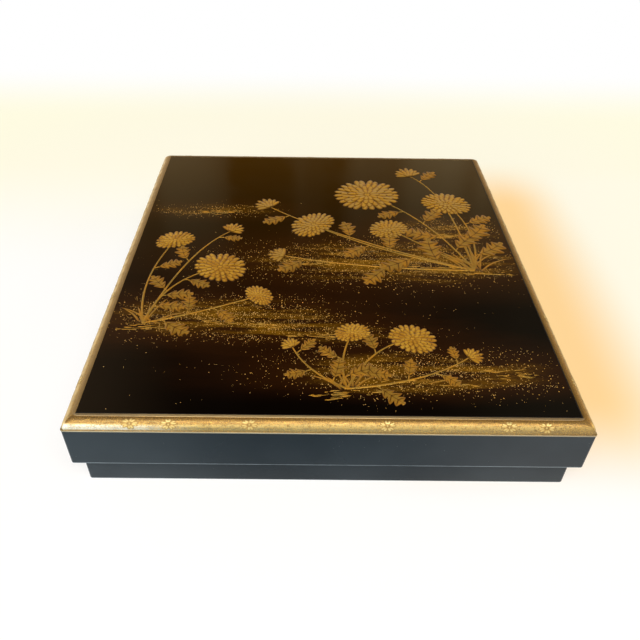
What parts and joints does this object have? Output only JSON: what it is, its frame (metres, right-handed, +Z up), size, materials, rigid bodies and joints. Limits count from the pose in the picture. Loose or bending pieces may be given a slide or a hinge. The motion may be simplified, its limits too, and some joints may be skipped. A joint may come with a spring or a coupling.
{
  "type": "lacquered writing box",
  "caption": "Flat lacquered wooden writing box: an overhanging lift-off lid with a rounded gold rim over a base fitted with an inkstone, a water dropper and a brush tray.",
  "frame": {"origin": "on the underside of the base, at the middle of the plan", "axes": "+X across the box to the right, +Y along its longer side away from the reader, +Z up"},
  "size_m": [0.22, 0.246, 0.042],
  "materials": {
    "black_lacquer": "polished black lacquer on thin wooden boards",
    "gold_lacquer": "wooden mouldings lacquered and sprinkled with gold powder",
    "speckled_lacquer": "brown lacquer over scattered gold flakes",
    "cypress": "bare planed wood",
    "slate": "ground and oiled slate",
    "copper_alloy": "patinated copper alloy"
  },
  "bodies": {
    "base": {"base_floor_board": "black_lacquer", "base_wall_front": "black_lacquer", "base_wall_right": "black_lacquer", "base_wall_back": "black_lacquer", "base_wall_left": "black_lacquer", "base_key_front_left": "cypress", "base_key_front_right": "cypress", "base_key_back_left": "cypress", "base_key_back_right": "cypress", "base_peg_front_1": "cypress", "base_peg_front_2": "cypress", "base_peg_right_1": "cypress", "base_peg_right_2": "cypress", "base_peg_back_1": "cypress", "base_peg_back_2": "cypress", "base_peg_left_1": "cypress", "base_peg_left_2": "cypress", "base_ledge_left": "speckled_lacquer", "base_ledge_right": "speckled_lacquer", "base_ledge_front": "speckled_lacquer", "base_ledge_back": "speckled_lacquer"},
    "lid": {"lid_top_board": "black_lacquer", "lid_rim_front": "gold_lacquer", "lid_rim_right": "gold_lacquer", "lid_rim_back": "gold_lacquer", "lid_rim_left": "gold_lacquer", "lid_wall_front": "black_lacquer", "lid_wall_right": "black_lacquer", "lid_wall_back": "black_lacquer", "lid_wall_left": "black_lacquer", "lid_key_front_left": "cypress", "lid_key_front_right": "cypress", "lid_key_back_left": "cypress", "lid_key_back_right": "cypress"},
    "inner_board": {"inner_board": "speckled_lacquer", "inkstone_surround": "gold_lacquer", "dropper_surround": "gold_lacquer"},
    "inkstone": {"inkstone": "slate"},
    "water_dropper": {"dropper_body": "copper_alloy", "dropper_top": "copper_alloy"},
    "brush_tray": {"tray_floor": "speckled_lacquer", "tray_wall_left": "black_lacquer", "tray_wall_right": "black_lacquer", "tray_wall_front": "black_lacquer", "tray_wall_back": "black_lacquer", "tray_brush_rest": "black_lacquer"}
  },
  "joints": [
    {"name": "lid_lift", "type": "slide", "parent": "base", "child": "lid", "axis": [0, 0, 1], "range_m": [0, 0.15]},
    {"name": "tray_lift", "type": "slide", "parent": "base", "child": "brush_tray", "axis": [0, 0, 1], "range_m": [0, 0.075]},
    {"name": "inkstone_lift", "type": "slide", "parent": "base", "child": "inkstone", "axis": [0, 0, 1], "range_m": [0, 0.075]},
    {"name": "dropper_lift", "type": "slide", "parent": "base", "child": "water_dropper", "axis": [0, 0, 1], "range_m": [0, 0.075]},
    {"name": "board_lift", "type": "slide", "parent": "base", "child": "inner_board", "axis": [0, 0, 1], "range_m": [0, 0.045]}
  ],
  "couplings": [
    {"joint": "tray_lift", "follows": "lid_lift", "ratio": 0.5},
    {"joint": "inkstone_lift", "follows": "lid_lift", "ratio": 0.5},
    {"joint": "dropper_lift", "follows": "lid_lift", "ratio": 0.5},
    {"joint": "board_lift", "follows": "lid_lift", "ratio": 0.3}
  ]
}
